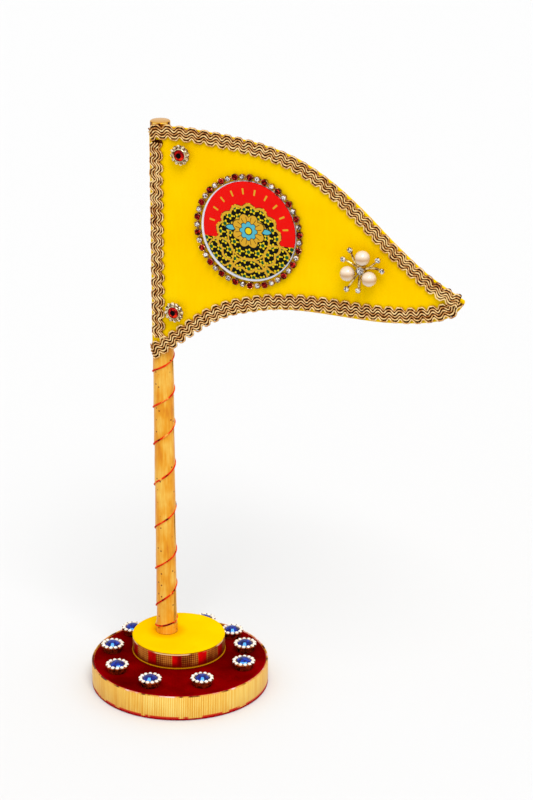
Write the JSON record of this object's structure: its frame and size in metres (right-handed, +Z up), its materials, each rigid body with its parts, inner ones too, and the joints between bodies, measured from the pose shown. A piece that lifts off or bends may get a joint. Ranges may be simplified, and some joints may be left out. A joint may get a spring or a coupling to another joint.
{
  "type": "table temple flag with pole and round base",
  "caption": "Small braided cloth temple flag with a round medallion, jewelled buttons and a pearl brooch, on a ribbon-wrapped pole in a stepped round base.",
  "frame": {"origin": "centre of the round base's underside, on the surface it stands on", "axes": "+Z up; the flag's face looks along -Y and the flag reaches from the pole towards +X"},
  "size_m": [0.2018, 0.0932, 0.3054],
  "materials": {
    "board": "plain board and dowel, hidden",
    "red_cloth": "smooth dark red cover with a slight gloss",
    "gold_ribbon": "ribbed gold metallic ribbon",
    "tissue_ribbon": "brown and gold woven tissue ribbon",
    "yellow_cloth": "plain matt stiffened cloth",
    "satin_ribbon": "golden orange satin",
    "red_thread": "thin cotton thread",
    "brass": "polished",
    "braid_cord": "plaited gold cord",
    "white_card": "smooth white disc",
    "print": "coloured round insert",
    "pale_gold": "plated settings",
    "red_stone": "faceted",
    "blue_stone": "faceted",
    "clear_stone": "faceted",
    "pearl": "pearly"
  },
  "bodies": {
    "root": {"base_band": "gold_ribbon", "base_button_1": "pale_gold", "base_button_10": "pale_gold", "base_button_2": "pale_gold", "base_button_3": "pale_gold", "base_button_4": "pale_gold", "base_button_5": "pale_gold", "base_button_6": "pale_gold", "base_button_7": "pale_gold", "base_button_8": "pale_gold", "base_button_9": "pale_gold", "base_cover": "red_cloth", "base_disc": "board", "base_stone_1": "blue_stone", "base_stone_10": "blue_stone", "base_stone_2": "blue_stone", "base_stone_3": "blue_stone", "base_stone_4": "blue_stone", "base_stone_5": "blue_stone", "base_stone_6": "blue_stone", "base_stone_7": "blue_stone", "base_stone_8": "blue_stone", "base_stone_9": "blue_stone", "braid_bottom": "braid_cord", "braid_pole": "braid_cord", "braid_top": "braid_cord", "brooch_frame": "pale_gold", "brooch_post": "pale_gold", "brooch_stone_0": "clear_stone", "brooch_stone_1": "clear_stone", "brooch_stone_2": "clear_stone", "brooch_stone_3": "clear_stone", "brooch_stone_4": "clear_stone", "brooch_stone_5": "clear_stone", "brooch_stone_6": "clear_stone", "flag_button_1": "pale_gold", "flag_button_2": "pale_gold", "flag_panel": "yellow_cloth", "flag_sleeve": "yellow_cloth", "flag_stone_1": "red_stone", "flag_stone_2": "red_stone", "medallion_chain": "pale_gold", "medallion_disc": "white_card", "medallion_print": "print", "pearl_1": "pearl", "pearl_2": "pearl", "pearl_3": "pearl", "pole": "board", "pole_cap": "brass", "pole_thread": "red_thread", "pole_wrap": "satin_ribbon", "tier_band": "tissue_ribbon", "tier_cover": "yellow_cloth", "tier_disc": "board"}
  },
  "joints": []
}
